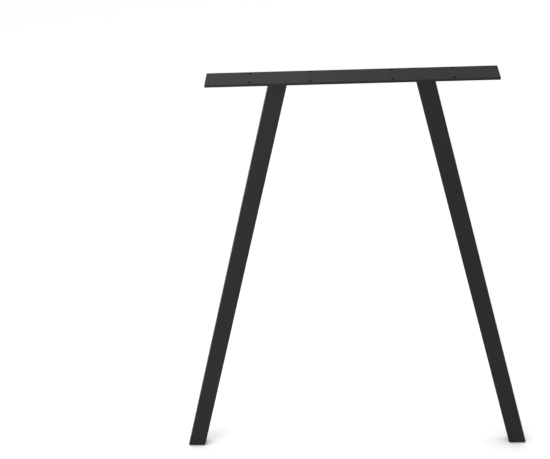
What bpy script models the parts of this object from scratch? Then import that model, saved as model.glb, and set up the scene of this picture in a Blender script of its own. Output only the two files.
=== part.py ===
"""Steel A-frame trestle: one half of a pair that carries a table top or a work board.

Two rectangular tubes lean outwards in one plane. Their upper ends are welded under a flat
plate with eight screw holes, and a plastic plug closes each lower end and stands on the floor.

Frame: the origin is on the floor, midway between the feet and midway through the depth.
X runs along the plate, Y through its depth with -Y as the front, and Z points up. Metres.
"""

import math

import bmesh
import bpy
from mathutils import Matrix

MM = 0.001

# Driving dimensions
HEIGHT = 730 * MM
PLATE_LENGTH = 470 * MM
PLATE_DEPTH = 52 * MM
PLATE_THICKNESS = 4 * MM
TOP_SPREAD = 265 * MM  # outer face to outer face of the legs, under the plate
FOOT_SPREAD = 625 * MM  # outer edge to outer edge of the legs, on the floor
TUBE_WIDTH = 30 * MM  # square to the leg, in the plane of the frame
TUBE_DEPTH = 20 * MM
TUBE_WALL = 1.5 * MM
TUBE_CORNER = 2 * MM

# Screw holes in the plate
HOLE_DIAMETER = 5.5 * MM
HOLE_ROW_SPACING = 40 * MM
HOLE_OUTER_SPACING = 326 * MM
HOLE_INNER_SPACING = 131 * MM
HOLE_SIDES = 32

# Plate edges
PLATE_CORNER = 0.8 * MM
PLATE_EDGE_BREAK = 0.4 * MM
EDGE_BREAK_SEGMENTS = 2
EDGE_BREAK_ANGLE = math.radians(60)  # edges that turn by more than this are broken

# Weld bead round the upper end of each leg
BEAD_LEG = 3 * MM
BEAD_TOE = 0.6 * MM

# Foot plug: a sole flush with the tube, and a hollow ribbed insert inside it
SOLE_THICKNESS = 4 * MM
SOLE_CORNER = 2.8 * MM  # a little rounder than the tube's corner
SOLE_EDGE_RADIUS = 2.6 * MM
SOLE_EDGE_SEGMENTS = 4
INSERT_HEIGHT = 24 * MM
INSERT_WALL = 1.8 * MM
INSERT_SIDE_CLEARANCE = 1.2 * MM
RIB_COUNT = 3
RIB_PITCH = 6 * MM
RIB_THICKNESS = 1.2 * MM

GAP = 0.3 * MM  # between pieces that touch
OVERCUT = 5 * MM  # how far a cutter runs past the piece
CORNER_SEGMENTS = 5
SHARP_ANGLE = math.radians(30)  # edges that turn by more than this stay crisp in shading

# Values that follow from the driving dimensions
PLATE_UNDERSIDE = HEIGHT - PLATE_THICKNESS
LEAN_RUN = (FOOT_SPREAD - TOP_SPREAD) / 2
LEAN_SLOPE = LEAN_RUN / PLATE_UNDERSIDE
LEAN_STRETCH = math.hypot(1, LEAN_SLOPE)  # width of a level cut over the width square to the leg
FOOT_CENTRE = (FOOT_SPREAD - TUBE_WIDTH * LEAN_STRETCH) / 2
BORE_WIDTH = TUBE_WIDTH - 2 * TUBE_WALL
BORE_DEPTH = TUBE_DEPTH - 2 * TUBE_WALL
BORE_CORNER = TUBE_CORNER - TUBE_WALL

SIDES = {"left": -1, "right": 1}


def clear_scene():
    for item in list(bpy.data.objects):
        bpy.data.objects.remove(item, do_unlink=True)


def new_collection(name):
    group = bpy.data.collections.new(name)
    bpy.context.scene.collection.children.link(group)
    return group


def new_material(name, grey, roughness, metallic=0.0):
    material = bpy.data.materials.new(name)
    material.use_nodes = True
    shader = material.node_tree.nodes["Principled BSDF"]
    shader.inputs["Base Color"].default_value = (grey, grey, grey, 1)
    shader.inputs["Roughness"].default_value = roughness
    shader.inputs["Metallic"].default_value = metallic
    material.diffuse_color = (grey, grey, grey, 1)
    return material


def add_box(name, group, width, depth, low, high, corner=0.0, top_growth=0.0):
    """An upright block centred on the Z axis, with rounded upright edges.

    top_growth widens the upper face by that much on each side.
    """
    bm = bmesh.new()
    bmesh.ops.create_cube(bm, size=1)
    bmesh.ops.scale(bm, verts=bm.verts, vec=(width, depth, high - low))
    bmesh.ops.translate(bm, verts=bm.verts, vec=(0, 0, (low + high) / 2))
    if top_growth:
        upper = [v for v in bm.verts if v.co.z > (low + high) / 2]
        growth = (1 + 2 * top_growth / width, 1 + 2 * top_growth / depth, 1)
        bmesh.ops.scale(bm, verts=upper, vec=growth)
    if corner:
        upright = [e for e in bm.edges if abs(e.verts[0].co.z - e.verts[1].co.z) > GAP]
        bmesh.ops.bevel(
            bm,
            geom=upright,
            offset=corner,
            segments=CORNER_SEGMENTS,
            profile=0.5,
            affect="EDGES",
        )
    mesh = bpy.data.meshes.new(name)
    bm.to_mesh(mesh)
    bm.free()
    block = bpy.data.objects.new(name, mesh)
    group.objects.link(block)
    return block


def as_cutter(item):
    item.hide_render = True
    item.display_type = "WIRE"
    return item


def combine(target, other, operation):
    step = target.modifiers.new(f"{operation.lower()} {other.name}", "BOOLEAN")
    step.operation = operation
    step.solver = "EXACT"
    step.object = as_cutter(other)


def round_lower_edges(item, radius):
    """Rounds the edges of the item's lowest face."""
    bm = bmesh.new()
    bm.from_mesh(item.data)
    floor = min(v.co.z for v in bm.verts)
    rim = [e for e in bm.edges if all(v.co.z < floor + GAP for v in e.verts)]
    bmesh.ops.bevel(
        bm,
        geom=rim,
        offset=radius,
        segments=SOLE_EDGE_SEGMENTS,
        profile=0.5,
        affect="EDGES",
    )
    bm.to_mesh(item.data)
    bm.free()


def lean_matrix(side):
    """Moves an upright piece onto the leaning leg, and keeps its level cuts level."""
    stretch = Matrix.Diagonal((LEAN_STRETCH, 1, 1, 1))
    slide = Matrix.Identity(4)
    slide[0][2] = -side * LEAN_SLOPE
    slide[0][3] = side * FOOT_CENTRE
    return slide @ stretch


def finished(item, material, matrix=None):
    """Applies the item's modifiers and the matrix to its mesh, and gives it its material."""
    bpy.context.view_layer.update()
    seen = item.evaluated_get(bpy.context.evaluated_depsgraph_get())
    mesh = bpy.data.meshes.new_from_object(seen)
    item.modifiers.clear()
    item.data = mesh
    if matrix:
        mesh.transform(matrix)
    mesh.materials.clear()
    mesh.materials.append(material)
    mesh.shade_smooth()
    mesh.set_sharp_from_angle(angle=SHARP_ANGLE)
    return item


def make_plate(parts, cutters, material):
    plate = add_box(
        "top_plate", parts, PLATE_LENGTH, PLATE_DEPTH, PLATE_UNDERSIDE, HEIGHT, PLATE_CORNER
    )
    spacings = (HOLE_OUTER_SPACING, HOLE_INNER_SPACING)
    places = [
        (side * spacing / 2, row * HOLE_ROW_SPACING / 2)
        for spacing in spacings
        for side in SIDES.values()
        for row in (-1, 1)
    ]
    bm = bmesh.new()
    for x, y in places:
        bmesh.ops.create_cone(
            bm,
            cap_ends=True,
            segments=HOLE_SIDES,
            radius1=HOLE_DIAMETER / 2,
            radius2=HOLE_DIAMETER / 2,
            depth=PLATE_THICKNESS + 2 * OVERCUT,
            matrix=Matrix.Translation((x, y, HEIGHT - PLATE_THICKNESS / 2)),
        )
    mesh = bpy.data.meshes.new("screw_holes")
    bm.to_mesh(mesh)
    bm.free()
    drills = bpy.data.objects.new("screw_holes", mesh)
    cutters.objects.link(drills)
    combine(plate, drills, "DIFFERENCE")
    edge_break = plate.modifiers.new("edge break", "BEVEL")
    edge_break.width = PLATE_EDGE_BREAK
    edge_break.segments = EDGE_BREAK_SEGMENTS
    edge_break.limit_method = "ANGLE"
    edge_break.angle_limit = EDGE_BREAK_ANGLE
    return finished(plate, material)


def make_tube(side_name, parts, cutters, material):
    low = SOLE_THICKNESS + GAP
    high = PLATE_UNDERSIDE - GAP
    tube = add_box(
        f"{side_name}_leg_tube", parts, TUBE_WIDTH, TUBE_DEPTH, low, high, TUBE_CORNER
    )
    bore = add_box(
        f"{side_name}_tube_bore",
        cutters,
        BORE_WIDTH,
        BORE_DEPTH,
        low - OVERCUT,
        high + OVERCUT,
        BORE_CORNER,
    )
    combine(tube, bore, "DIFFERENCE")
    return finished(tube, material, lean_matrix(SIDES[side_name]))


def make_weld(side_name, parts, cutters, material):
    """A fillet bead: a thin toe down the tube's wall, widening towards the plate."""
    high = PLATE_UNDERSIDE - GAP
    low = high - BEAD_LEG
    inner_width = TUBE_WIDTH + 2 * GAP
    inner_depth = TUBE_DEPTH + 2 * GAP
    bead = add_box(
        f"{side_name}_leg_weld",
        parts,
        inner_width + 2 * BEAD_TOE,
        inner_depth + 2 * BEAD_TOE,
        low,
        high,
        TUBE_CORNER + GAP + BEAD_TOE,
        top_growth=BEAD_LEG - BEAD_TOE,
    )
    tube_space = add_box(
        f"{side_name}_weld_bore",
        cutters,
        inner_width,
        inner_depth,
        low - OVERCUT,
        high + OVERCUT,
        TUBE_CORNER + GAP,
    )
    combine(bead, tube_space, "DIFFERENCE")
    return finished(bead, material, lean_matrix(SIDES[side_name]))


def make_plug(side_name, parts, cutters, material):
    plug = add_box(
        f"{side_name}_foot_plug", parts, TUBE_WIDTH, TUBE_DEPTH, 0, SOLE_THICKNESS, SOLE_CORNER
    )
    round_lower_edges(plug, SOLE_EDGE_RADIUS)
    insert_width = BORE_WIDTH - 2 * INSERT_SIDE_CLEARANCE
    insert_depth = BORE_DEPTH - 2 * INSERT_SIDE_CLEARANCE
    insert_top = SOLE_THICKNESS + INSERT_HEIGHT
    inside_sole = SOLE_THICKNESS / 2
    insert = add_box(
        f"{side_name}_insert", cutters, insert_width, insert_depth, inside_sole, insert_top
    )
    combine(plug, insert, "UNION")
    for index in range(RIB_COUNT):
        rib_low = SOLE_THICKNESS + (index + 1) * RIB_PITCH
        rib = add_box(
            f"{side_name}_rib_{index + 1}",
            cutters,
            BORE_WIDTH - 2 * GAP,
            BORE_DEPTH - 2 * GAP,
            rib_low,
            rib_low + RIB_THICKNESS,
            BORE_CORNER,
        )
        combine(plug, rib, "UNION")
    hollow = add_box(
        f"{side_name}_insert_hollow",
        cutters,
        insert_width - 2 * INSERT_WALL,
        insert_depth - 2 * INSERT_WALL,
        SOLE_THICKNESS,
        insert_top + OVERCUT,
    )
    combine(plug, hollow, "DIFFERENCE")
    return finished(plug, material, lean_matrix(SIDES[side_name]))


def main():
    clear_scene()
    parts = new_collection("a_frame_trestle")
    cutters = new_collection("cutters")
    powder_coat = new_material("black_powder_coat", grey=0.03, roughness=0.45)
    weld_coat = new_material("powder_coated_weld", grey=0.028, roughness=0.5)
    plastic = new_material("black_plastic", grey=0.02, roughness=0.6)
    make_plate(parts, cutters, powder_coat)
    for side_name in SIDES:
        make_tube(side_name, parts, cutters, powder_coat)
        make_weld(side_name, parts, cutters, weld_coat)
        make_plug(side_name, parts, cutters, plastic)


main()
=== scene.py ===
"""Looks for the steel A-frame trestle: fine-textured black powder coat, coated weld beads with
ripples, moulded foot plugs, and a plain pale studio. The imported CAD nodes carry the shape.
"""

import math

import bmesh
import bpy
from mathutils import Matrix, Vector


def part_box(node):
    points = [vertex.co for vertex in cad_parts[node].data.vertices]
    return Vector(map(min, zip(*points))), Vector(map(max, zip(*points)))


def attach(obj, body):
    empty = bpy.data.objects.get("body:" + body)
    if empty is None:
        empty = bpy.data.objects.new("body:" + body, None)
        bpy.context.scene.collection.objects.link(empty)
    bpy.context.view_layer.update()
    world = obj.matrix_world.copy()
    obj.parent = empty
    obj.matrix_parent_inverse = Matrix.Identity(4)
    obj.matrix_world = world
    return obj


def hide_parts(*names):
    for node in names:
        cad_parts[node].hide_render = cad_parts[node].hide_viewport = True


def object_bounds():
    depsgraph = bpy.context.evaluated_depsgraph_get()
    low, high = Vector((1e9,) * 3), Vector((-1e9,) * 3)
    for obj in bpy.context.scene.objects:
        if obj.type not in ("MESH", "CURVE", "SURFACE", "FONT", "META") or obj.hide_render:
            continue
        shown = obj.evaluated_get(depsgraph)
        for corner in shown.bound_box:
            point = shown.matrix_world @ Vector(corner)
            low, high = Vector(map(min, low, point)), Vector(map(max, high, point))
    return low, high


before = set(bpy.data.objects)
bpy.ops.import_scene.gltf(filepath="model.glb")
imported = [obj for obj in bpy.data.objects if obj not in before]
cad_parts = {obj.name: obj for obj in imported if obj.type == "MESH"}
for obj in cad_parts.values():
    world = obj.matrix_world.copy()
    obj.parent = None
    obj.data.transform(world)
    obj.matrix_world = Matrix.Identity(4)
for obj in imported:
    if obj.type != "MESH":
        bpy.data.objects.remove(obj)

cad_low, cad_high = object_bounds()

MM = 0.001

# Camera, in the photograph's place: metres and degrees
CAMERA_PLACE = (-0.0283, -1.995, 1.5274)
CAMERA_TURN = 4.37  # to the left of straight ahead
CAMERA_DIP = 28.24  # below the horizon
CAMERA_ROLL = 3.2  # clockwise, so level lines climb to the right
CAMERA_LENS_MM = 86.79
CAMERA_SHIFT = 0.0504  # of the picture's width, for an object that stands right of the middle
SENSOR_MM = 36

# Studio light, as radiance where white paper shows near 1, and how fast each glow dies away
OVERHEAD_GLOW = 1.96
OVERHEAD_FALLOFF = 3.0
HORIZON_GLOW = 0.58
HORIZON_FALLOFF = 2.0
LEFT_GLOW = 0.64
LEFT_FALLOFF = 3.0
BACKDROP_GREY = 1.0
FLOOR_SIZE = 60
FLOOR_CLOUD = 0.5

# Powder coat: its gloss, and the size of each kind of unevenness in its surface
COAT_SPECULAR = 0.172
COAT_GRAIN = 0.53 * MM
COAT_SPECK = 1.1 * MM
COAT_PEEL = 3.8 * MM
COAT_PEEL_DEPTH = 0.02 * MM
COAT_WEAR_PATCH = 13 * MM
COAT_WEAR_WIDTH = 0.6 * MM  # how far in from an edge the coat has worn thin
COAT_CLOUD = 70 * MM

# Foot plastic
PLASTIC_SPECULAR = 0.4
PLASTIC_GRAIN = 0.38 * MM
PLASTIC_GRAIN_DEPTH = 0.02 * MM
PLASTIC_SMEAR = 6.2 * MM
SCUFF_HEIGHT = 2.2 * MM  # above the floor

# Weld beads
BEAD_LEG = 3.1 * MM
BEAD_CROWN = 0.25 * MM  # how far the middle of the bead's face stands proud of a flat fillet
BEAD_SINK = 0.2 * MM  # how far the bead runs into the tube's wall
BEAD_STEPS = 9  # points across the bead's face
BEAD_SWELLS = ((0.04, 7, 0.0), (0.03, 3, 1.3))  # share of the leg, waves round the tube, phase
RIPPLE_PITCH = 1.5 * MM
RIPPLE_HEIGHT = 0.16 * MM
RIPPLE_LAG = 0.9  # of a pitch, by which the middle of each crescent trails its ends
RIPPLE_CURVE = 0.7  # below 1, so that the crescents are round and the grooves between them sharp
STEPS_PER_RIPPLE = 8
TUBE_CORNER = 2 * MM
LEVEL_TOLERANCE = 0.1 * MM  # how far apart in height the points of a level cut may be

# Shading
MERGE_DISTANCE = 0.002 * MM
SHARP_ANGLE = math.radians(50)  # edges that turn by more than this stay crisp

SIDES = ("left", "right")


# ---------------------------------------------------------------- node helpers


def new_material(name):
    material = bpy.data.materials.new(name)
    material.use_nodes = True
    tree = material.node_tree
    shader = tree.nodes["Principled BSDF"]
    return material, tree, shader


def add_node(tree, kind, inputs=None, **settings):
    """Adds a node. Each of its inputs is linked to a socket or set to a value."""
    node = tree.nodes.new(kind)
    for key, value in settings.items():
        setattr(node, key, value)
    for key, value in (inputs or {}).items():
        if isinstance(value, bpy.types.NodeSocket):
            tree.links.new(value, node.inputs[key])
        else:
            node.inputs[key].default_value = value
    return node


def noise(tree, place, size, detail=2.0, roughness=0.5):
    """Noise whose features are about the given size, between 0 and 1 and mostly near 0.5."""
    node = add_node(
        tree,
        "ShaderNodeTexNoise",
        {"Vector": place, "Scale": 1 / size, "Detail": detail, "Roughness": roughness},
    )
    return node.outputs["Fac"]


def remap(tree, value, low, high, to_low, to_high):
    node = add_node(
        tree,
        "ShaderNodeMapRange",
        {
            "Value": value,
            "From Min": low,
            "From Max": high,
            "To Min": to_low,
            "To Max": to_high,
        },
    )
    return node.outputs["Result"]


def maths(tree, operation, first, second=0.0):
    node = add_node(tree, "ShaderNodeMath", {0: first, 1: second}, operation=operation)
    return node.outputs[0]


def mix_colour(tree, share, first, second):
    """The first colour where share is 0, and the second where it is 1."""
    factor, a, b, result = 0, 6, 7, 2  # the node's sockets for colours
    node = add_node(
        tree, "ShaderNodeMix", {factor: share, a: first, b: second}, data_type="RGBA"
    )
    return node.outputs[result]


def bumps(tree, height, depth, normal=None):
    inputs = {"Height": height, "Strength": 1.0, "Distance": depth}
    if normal:
        inputs["Normal"] = normal
    return add_node(tree, "ShaderNodeBump", inputs).outputs["Normal"]


def grey(value):
    return (value, value, value, 1)


def edge_mask(tree, radius):
    """1 along the piece's outer edges within the radius, 0 on its flats."""
    rounded = add_node(tree, "ShaderNodeBevel", {"Radius": radius}, samples=6)
    facing = add_node(tree, "ShaderNodeNewGeometry")
    turned = add_node(
        tree,
        "ShaderNodeVectorMath",
        {0: rounded.outputs["Normal"], 1: facing.outputs["Normal"]},
        operation="DOT_PRODUCT",
    )
    return remap(tree, turned.outputs["Value"], low=0.99, high=0.86, to_low=0.0, to_high=1.0)


# ------------------------------------------------------------------- materials


def powder_coat(name, body=0.0075, edge_lift=0.006, roughness=0.28, grain_depth=0.016 * MM):
    """Satin black powder coat: a fine grain, soft orange peel, and thin spots on its edges."""
    material, tree, shader = new_material(name)
    place = add_node(tree, "ShaderNodeTexCoord").outputs["Object"]
    grain = noise(tree, place, COAT_GRAIN, detail=2.0, roughness=0.6)
    peel = noise(tree, place, COAT_PEEL, detail=1.0, roughness=0.4)
    cloud = noise(tree, place, COAT_CLOUD, detail=3.0, roughness=0.55)
    speck = noise(tree, place, COAT_SPECK, detail=0.0)
    patch = noise(tree, place, COAT_WEAR_PATCH, detail=3.0, roughness=0.7)

    body_tone = remap(tree, cloud, low=0.3, high=0.7, to_low=0.9, to_high=1.1)
    speck_tone = remap(tree, speck, low=0.62, high=0.8, to_low=0.0, to_high=0.25)
    tone = maths(tree, "ADD", body_tone, speck_tone)
    half_tone = maths(tree, "MULTIPLY", tone, 0.5)
    base = mix_colour(tree, half_tone, grey(0.0), grey(body * 2))  # a tone of 1 gives the body
    patchy = remap(tree, patch, low=0.38, high=0.68, to_low=0.15, to_high=1.0)
    worn = maths(tree, "MULTIPLY", edge_mask(tree, COAT_WEAR_WIDTH), patchy)
    colour = mix_colour(tree, worn, base, grey(body + edge_lift))
    tree.links.new(colour, shader.inputs["Base Color"])

    cloudy = remap(tree, cloud, low=0.3, high=0.7, to_low=-0.035, to_high=0.035)
    cloudy = maths(tree, "ADD", cloudy, roughness)
    grainy = remap(tree, grain, low=0.3, high=0.7, to_low=-0.03, to_high=0.03)
    polish = maths(tree, "MULTIPLY", worn, 0.08)
    rough = maths(tree, "SUBTRACT", maths(tree, "ADD", cloudy, grainy), polish)
    tree.links.new(rough, shader.inputs["Roughness"])

    wave = bumps(tree, peel, COAT_PEEL_DEPTH)
    fine = bumps(tree, grain, grain_depth, wave)
    tree.links.new(fine, shader.inputs["Normal"])
    shader.inputs["Specular IOR Level"].default_value = COAT_SPECULAR
    return material


def moulded_plastic(name):
    """Black moulded plastic with a spark-eroded texture, scuffed lighter near the floor."""
    material, tree, shader = new_material(name)
    place = add_node(tree, "ShaderNodeTexCoord").outputs["Object"]
    grain = noise(tree, place, PLASTIC_GRAIN, detail=1.0, roughness=0.5)
    smear = noise(tree, place, PLASTIC_SMEAR, detail=4.0, roughness=0.65)
    height = add_node(tree, "ShaderNodeSeparateXYZ", {"Vector": place}).outputs["Z"]

    near_floor = remap(tree, height, low=0.0, high=SCUFF_HEIGHT, to_low=1.0, to_high=0.0)
    scuffs = remap(tree, smear, low=0.48, high=0.66, to_low=0.0, to_high=1.0)
    scuffed = maths(tree, "MULTIPLY", near_floor, scuffs)
    mottle = remap(tree, smear, low=0.3, high=0.7, to_low=0.0, to_high=1.0)
    plain = mix_colour(tree, mottle, grey(0.008), grey(0.012))
    colour = mix_colour(tree, scuffed, plain, grey(0.05))
    tree.links.new(colour, shader.inputs["Base Color"])

    rough = remap(tree, grain, low=0.3, high=0.7, to_low=0.52, to_high=0.64)
    rough = maths(tree, "ADD", rough, maths(tree, "MULTIPLY", scuffed, 0.15))
    tree.links.new(rough, shader.inputs["Roughness"])
    tree.links.new(bumps(tree, grain, PLASTIC_GRAIN_DEPTH), shader.inputs["Normal"])
    shader.inputs["Specular IOR Level"].default_value = PLASTIC_SPECULAR
    return material


def pale_floor():
    material, tree, shader = new_material("pale_floor")
    place = add_node(tree, "ShaderNodeTexCoord").outputs["Object"]
    cloud = noise(tree, place, FLOOR_CLOUD, detail=2.0)
    colour = mix_colour(tree, cloud, grey(0.94), grey(0.96))
    tree.links.new(colour, shader.inputs["Base Color"])
    shader.inputs["Roughness"].default_value = 0.9
    shader.inputs["Specular IOR Level"].default_value = 0.1
    return material


# ----------------------------------------------------------------------- weld


def level_ring(node_name, top):
    """Centre and half size of the tube's level cut at its upper or lower end."""
    points = [v.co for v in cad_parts[node_name].data.vertices]
    height = max(p.z for p in points) if top else min(p.z for p in points)
    ring = [p for p in points if abs(p.z - height) < LEVEL_TOLERANCE]
    low = Vector((min(p.x for p in ring), min(p.y for p in ring), height))
    high = Vector((max(p.x for p in ring), max(p.y for p in ring), height))
    return (low + high) / 2, (high - low) / 2


def rounded_path(half_width, half_depth, corner):
    """Points and outward directions round a rounded rectangle, for a whole number of ripples."""
    straight_x = half_width - corner
    straight_y = half_depth - corner
    turns = [(1, 1, 0), (-1, 1, 90), (-1, -1, 180), (1, -1, 270)]
    corners = [
        (Vector((sx * straight_x, sy * straight_y, 0)), math.radians(start))
        for sx, sy, start in turns
    ]
    arc_length = corner * math.pi / 2
    sides = [2 * straight_x, 2 * straight_y, 2 * straight_x, 2 * straight_y]
    around = sum(sides) + 4 * arc_length
    count = STEPS_PER_RIPPLE * round(around / RIPPLE_PITCH)
    places = []
    for index in range(count):
        left = around * index / count
        for (centre, start), side, (following, _) in zip(
            corners, sides, corners[1:] + corners[:1]
        ):
            if left < arc_length:
                angle = start + left / corner
                out = Vector((math.cos(angle), math.sin(angle), 0))
                places.append((centre + out * corner, out))
                break
            left -= arc_length
            if left < side:
                out = Vector((math.cos(start + math.pi / 2), math.sin(start + math.pi / 2), 0))
                places.append((centre.lerp(following, left / side) + out * corner, out))
                break
            left -= side
    return places


def bead_leg(turn):
    """The bead's leg length at an angle round the tube. It swells and narrows a little."""
    swell = sum(share * math.sin(waves * turn + phase) for share, waves, phase in BEAD_SWELLS)
    return BEAD_LEG * (1 + swell)


def bead_section(place, out, travel, leg):
    """The bead's outline at one point of its path, with Z measured from the plate's underside."""
    section = []
    for step in range(BEAD_STEPS):
        across = step / (BEAD_STEPS - 1)
        bulge = math.sin(across * math.pi)
        ripple = abs(math.sin(math.pi * (travel - RIPPLE_LAG * bulge))) ** RIPPLE_CURVE
        crown = (BEAD_CROWN + RIPPLE_HEIGHT * (ripple - 0.5)) * bulge
        spot = place + out * (leg * across + crown)
        spot.z = -(leg * (1 - across) + crown)
        section.append(spot)
    root = place - out * BEAD_SINK
    section.append(root)
    section.append(root - Vector((0, 0, leg)))
    return section


def weld_bead(side_name, material):
    """A fillet bead round the leg's upper end, laid in overlapping crescents."""
    tube = f"{side_name}_leg_tube"
    top_centre, half = level_ring(tube, top=True)
    foot_centre, _ = level_ring(tube, top=False)
    slope = (top_centre.x - foot_centre.x) / (top_centre.z - foot_centre.z)
    plate_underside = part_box("top_plate")[0].z
    path = rounded_path(half.x, half.y, TUBE_CORNER)

    bm = bmesh.new()
    rings = []
    for index, (place, out) in enumerate(path):
        leg = bead_leg(math.tau * index / len(path))
        section = bead_section(place, out, index / STEPS_PER_RIPPLE, leg)
        rings.append([bm.verts.new(spot) for spot in section])
    for ring, following in zip(rings, rings[1:] + rings[:1]):
        for a in range(len(ring)):
            b = (a + 1) % len(ring)
            bm.faces.new((ring[a], following[a], following[b], ring[b]))
    bmesh.ops.recalc_face_normals(bm, faces=bm.faces)
    for vertex in bm.verts:
        height = plate_underside + vertex.co.z
        vertex.co.x += top_centre.x + slope * (height - top_centre.z)
        vertex.co.y += top_centre.y
        vertex.co.z = height
    mesh = bpy.data.meshes.new(f"{side_name}_weld_bead")
    bm.to_mesh(mesh)
    bm.free()
    mesh.materials.append(material)
    mesh.shade_smooth()
    mesh.set_sharp_from_angle(angle=SHARP_ANGLE)
    bead = bpy.data.objects.new(f"{side_name}_weld_bead", mesh)
    bpy.context.scene.collection.objects.link(bead)
    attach(bead, "root")
    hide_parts(f"{side_name}_leg_weld")


# ------------------------------------------------------------------ CAD nodes


def crisp_shading():
    """Geometry nodes that join a CAD node's facets and shade smooth across all but sharp edges."""
    group = bpy.data.node_groups.new("crisp_shading", "GeometryNodeTree")
    for direction in ("INPUT", "OUTPUT"):
        group.interface.new_socket(
            "Geometry", in_out=direction, socket_type="NodeSocketGeometry"
        )
    loose = add_node(group, "NodeGroupInput").outputs[0]
    joined = add_node(
        group,
        "GeometryNodeMergeByDistance",
        {"Geometry": loose, "Distance": MERGE_DISTANCE},
    )
    turn = add_node(group, "GeometryNodeInputMeshEdgeAngle").outputs["Unsigned Angle"]
    sharp = add_node(
        group, "FunctionNodeCompare", {0: turn, 1: SHARP_ANGLE}, operation="GREATER_THAN"
    )
    shaded = add_node(
        group,
        "GeometryNodeSetMeshNormal",
        {
            "Mesh": joined.outputs[0],
            "Remove Custom": True,
            "Edge Sharpness": sharp.outputs[0],
            "Face Sharpness": False,
        },
        mode="SHARPNESS",
    )
    add_node(group, "NodeGroupOutput", {0: shaded.outputs[0]})
    return group


def dress(node_name, material, shading):
    """Gives a CAD node its material, and flat faces that meet their rounded edges smoothly."""
    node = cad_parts[node_name]
    node.data.materials.clear()
    node.data.materials.append(material)
    node.modifiers.new("crisp shading", "NODES").node_group = shading
    flats = node.modifiers.new("flat faces stay flat", "WEIGHTED_NORMAL")
    flats.keep_sharp = True


# --------------------------------------------------------------------- studio


def add_panel(name, place, target, width, height, watts):
    """A soft light panel that faces the target and isn't seen by the camera."""
    lamp = bpy.data.lights.new(name, "AREA")
    lamp.shape = "RECTANGLE"
    lamp.size = width
    lamp.size_y = height
    lamp.energy = watts
    panel = bpy.data.objects.new(name, lamp)
    bpy.context.scene.collection.objects.link(panel)
    panel.visible_camera = False
    panel.location = place
    facing = Vector(target) - Vector(place)
    panel.rotation_euler = facing.to_track_quat("-Z", "Y").to_euler()


def add_panels():
    plate = (0, 0, cad_high.z)
    middle = (0, 0, cad_high.z / 2)
    left_ankle = (cad_low.x, 0, cad_high.z * 0.1)
    floor_in_front = (-0.4, -1.85, 0)  # mirrored in the upper part of the legs
    behind, left, right = (-0.65, 2.5, 1.9), (-0.9, -0.6, 0.35), (2.4, 0.3, 1.3)
    over_floor = (-0.4, -1.85, 0.7)
    add_panel("back_panel", behind, plate, width=1.4, height=1.6, watts=1.05)
    add_panel("left_panel", left, left_ankle, width=0.8, height=0.8, watts=5.0)
    add_panel("right_panel", right, middle, width=1.4, height=1.4, watts=12)
    add_panel("front_panel", over_floor, floor_in_front, width=0.6, height=0.4, watts=10)


def studio_sky(world):
    """A soft white studio all round: brightest overhead, with a glow at the horizon and the left.

    The camera sees a plain pale backdrop in its place.
    """
    tree = world.node_tree
    sky = tree.nodes["Background"]
    direction = add_node(tree, "ShaderNodeTexCoord").outputs["Generated"]
    split = add_node(tree, "ShaderNodeSeparateXYZ", {"Vector": direction})
    across, height = split.outputs["X"], split.outputs["Z"]
    upward = maths(tree, "MAXIMUM", height, 0.0)
    overhead = maths(tree, "POWER", upward, OVERHEAD_FALLOFF)
    level = maths(tree, "SUBTRACT", 1.0, maths(tree, "ABSOLUTE", height))
    horizon = maths(tree, "POWER", level, HORIZON_FALLOFF)
    leftward = maths(tree, "MULTIPLY", maths(tree, "SUBTRACT", 1.0, across), 0.5)
    left_side = maths(tree, "POWER", leftward, LEFT_FALLOFF)
    glow = maths(tree, "MULTIPLY", overhead, OVERHEAD_GLOW)
    glow = maths(tree, "ADD", glow, maths(tree, "MULTIPLY", horizon, HORIZON_GLOW))
    glow = maths(tree, "ADD", glow, maths(tree, "MULTIPLY", left_side, LEFT_GLOW))
    seen = add_node(tree, "ShaderNodeLightPath").outputs["Is Camera Ray"]
    colour = mix_colour(tree, seen, glow, grey(BACKDROP_GREY))
    tree.links.new(colour, sky.inputs["Color"])


def make_studio():
    scene = bpy.context.scene
    world = bpy.data.worlds.new("studio")
    world.use_nodes = True
    studio_sky(world)
    scene.world = world

    mesh = bpy.data.meshes.new("floor")
    bm = bmesh.new()
    bmesh.ops.create_grid(bm, x_segments=1, y_segments=1, size=FLOOR_SIZE / 2)
    bm.to_mesh(mesh)
    bm.free()
    mesh.materials.append(pale_floor())
    floor = bpy.data.objects.new("floor", mesh)
    scene.collection.objects.link(floor)

    add_panels()
    scene.view_settings.view_transform = "Standard"
    scene.view_settings.look = "None"


def make_camera():
    lens = bpy.data.cameras.new("camera")
    lens.lens = CAMERA_LENS_MM
    lens.sensor_width = SENSOR_MM
    lens.sensor_fit = "HORIZONTAL"
    lens.shift_x = CAMERA_SHIFT
    camera = bpy.data.objects.new("camera", lens)
    bpy.context.scene.collection.objects.link(camera)
    turn = Matrix.Rotation(math.radians(CAMERA_TURN), 4, "Z")
    dip = Matrix.Rotation(math.radians(90 - CAMERA_DIP), 4, "X")
    roll = Matrix.Rotation(math.radians(-CAMERA_ROLL), 4, "Z")
    camera.matrix_world = Matrix.Translation(CAMERA_PLACE) @ turn @ dip @ roll
    bpy.context.scene.camera = camera


# ------------------------------------------------------------------------ main

coat = powder_coat("black_powder_coat")
weld_coat = powder_coat("coated_weld", roughness=0.27, grain_depth=0.01 * MM)
plastic = moulded_plastic("black_foot_plastic")

shading = crisp_shading()
dress("top_plate", coat, shading)
for side_name in SIDES:
    dress(f"{side_name}_leg_tube", coat, shading)
    dress(f"{side_name}_foot_plug", plastic, shading)
    weld_bead(side_name, weld_coat)

make_studio()
make_camera()
